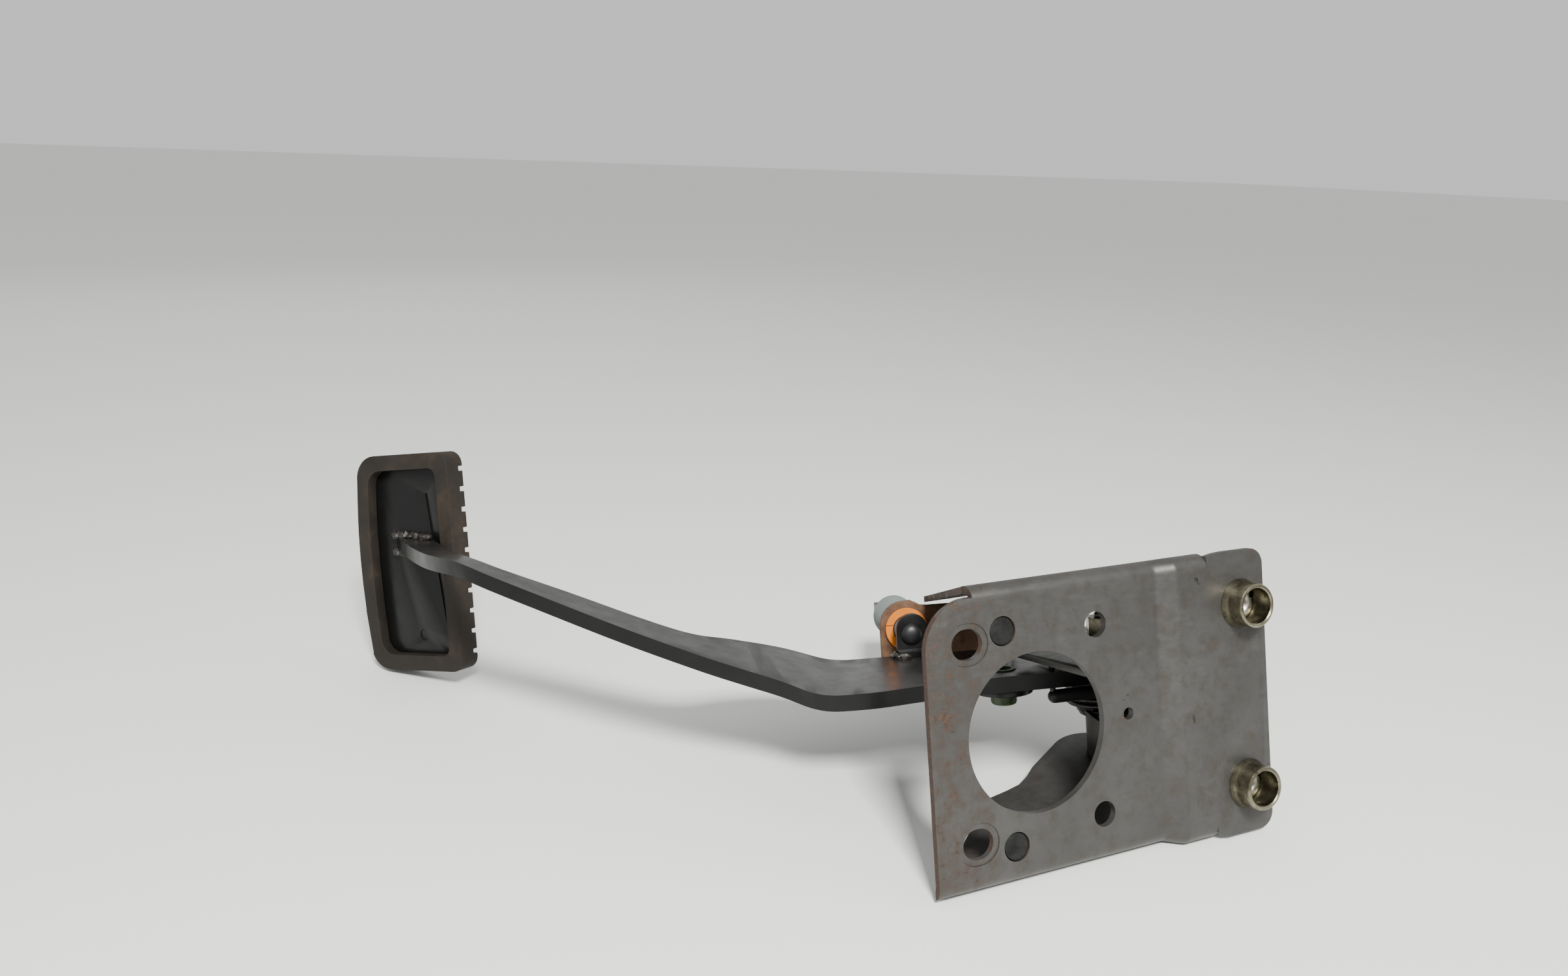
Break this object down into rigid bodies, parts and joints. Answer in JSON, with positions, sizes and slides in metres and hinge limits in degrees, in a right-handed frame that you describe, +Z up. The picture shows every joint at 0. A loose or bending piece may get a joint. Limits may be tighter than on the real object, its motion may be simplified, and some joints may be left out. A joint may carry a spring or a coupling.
{
  "type": "brake pedal assembly",
  "caption": "Hanging car brake pedal in its firewall bracket: bent flat arm, wide ribbed rubber pad, return spring, stop lamp switch; lying on its side",
  "frame": {"origin": "on the floor under the middle of the assembly as it lies on its lower side wall", "axes": "+X along the firewall plate away from the pad, +Y from the plate's front towards the driver's side, +Z up from the floor"},
  "size_m": [0.361, 0.3336, 0.1239],
  "materials": {
    "bare_steel": "dull, scuffed, spotted with rust",
    "rusty_steel": "rusted brown",
    "black_paint": "semi-gloss black, worn at the edges",
    "zinc": "yellow passivated zinc",
    "rubber": "matt, dusty",
    "orange_plastic": "satin",
    "grey_plastic": "satin",
    "black_plastic": "satin",
    "green_plastic": "satin",
    "spring_steel": "dark, oily"
  },
  "bodies": {
    "bracket": {"front_plate": "bare_steel", "upper_side_wall": "bare_steel", "lower_side_wall": "bare_steel", "inner_cheek": "bare_steel", "plug_weld_upper": "bare_steel", "plug_weld_lower": "bare_steel", "upper_collar": "zinc", "lower_collar": "zinc", "upper_collar_nut": "zinc", "lower_collar_nut": "zinc", "pivot_boss": "bare_steel", "pivot_bolt": "zinc", "pivot_sleeve": "bare_steel", "pivot_washer": "zinc", "pivot_nut": "zinc", "return_spring": "spring_steel", "switch_bracket": "rusty_steel", "switch_clip": "orange_plastic", "switch_body": "grey_plastic", "switch_connector": "black_plastic"},
    "pedal": {"hub_tube": "black_paint", "hub_bush_lower": "black_plastic", "hub_bush_upper": "black_plastic", "spring_leg": "spring_steel", "spring_leg_cover": "rubber", "pedal_arm": "black_paint", "clevis_doubler": "black_paint", "clevis_bush": "green_plastic", "stop_tab": "black_paint", "stop_bumper": "rubber", "stop_weld": "spring_steel", "pad_backing": "black_paint", "pad_rubber": "rubber", "pad_weld_upper": "spring_steel", "pad_weld_lower": "spring_steel"},
    "plunger": {"switch_plunger": "black_plastic"}
  },
  "joints": [
    {"name": "pedal_swing", "type": "hinge", "parent": "bracket", "child": "pedal", "pos_m": [0.14098, -0.08752, 0.04592], "axis": [0, 0.2588, 0.9659], "range_deg": [0, 20], "stiffness_Nm_per_rad": 2, "springref_deg": -28.65},
    {"name": "plunger_travel", "type": "slide", "parent": "bracket", "child": "plunger", "axis": [-0.3355, -0.91, 0.2438], "range_m": [0, 0.0046]}
  ],
  "couplings": [
    {"joint": "plunger_travel", "follows": "pedal_swing", "m_per_rad": 0.0127}
  ]
}
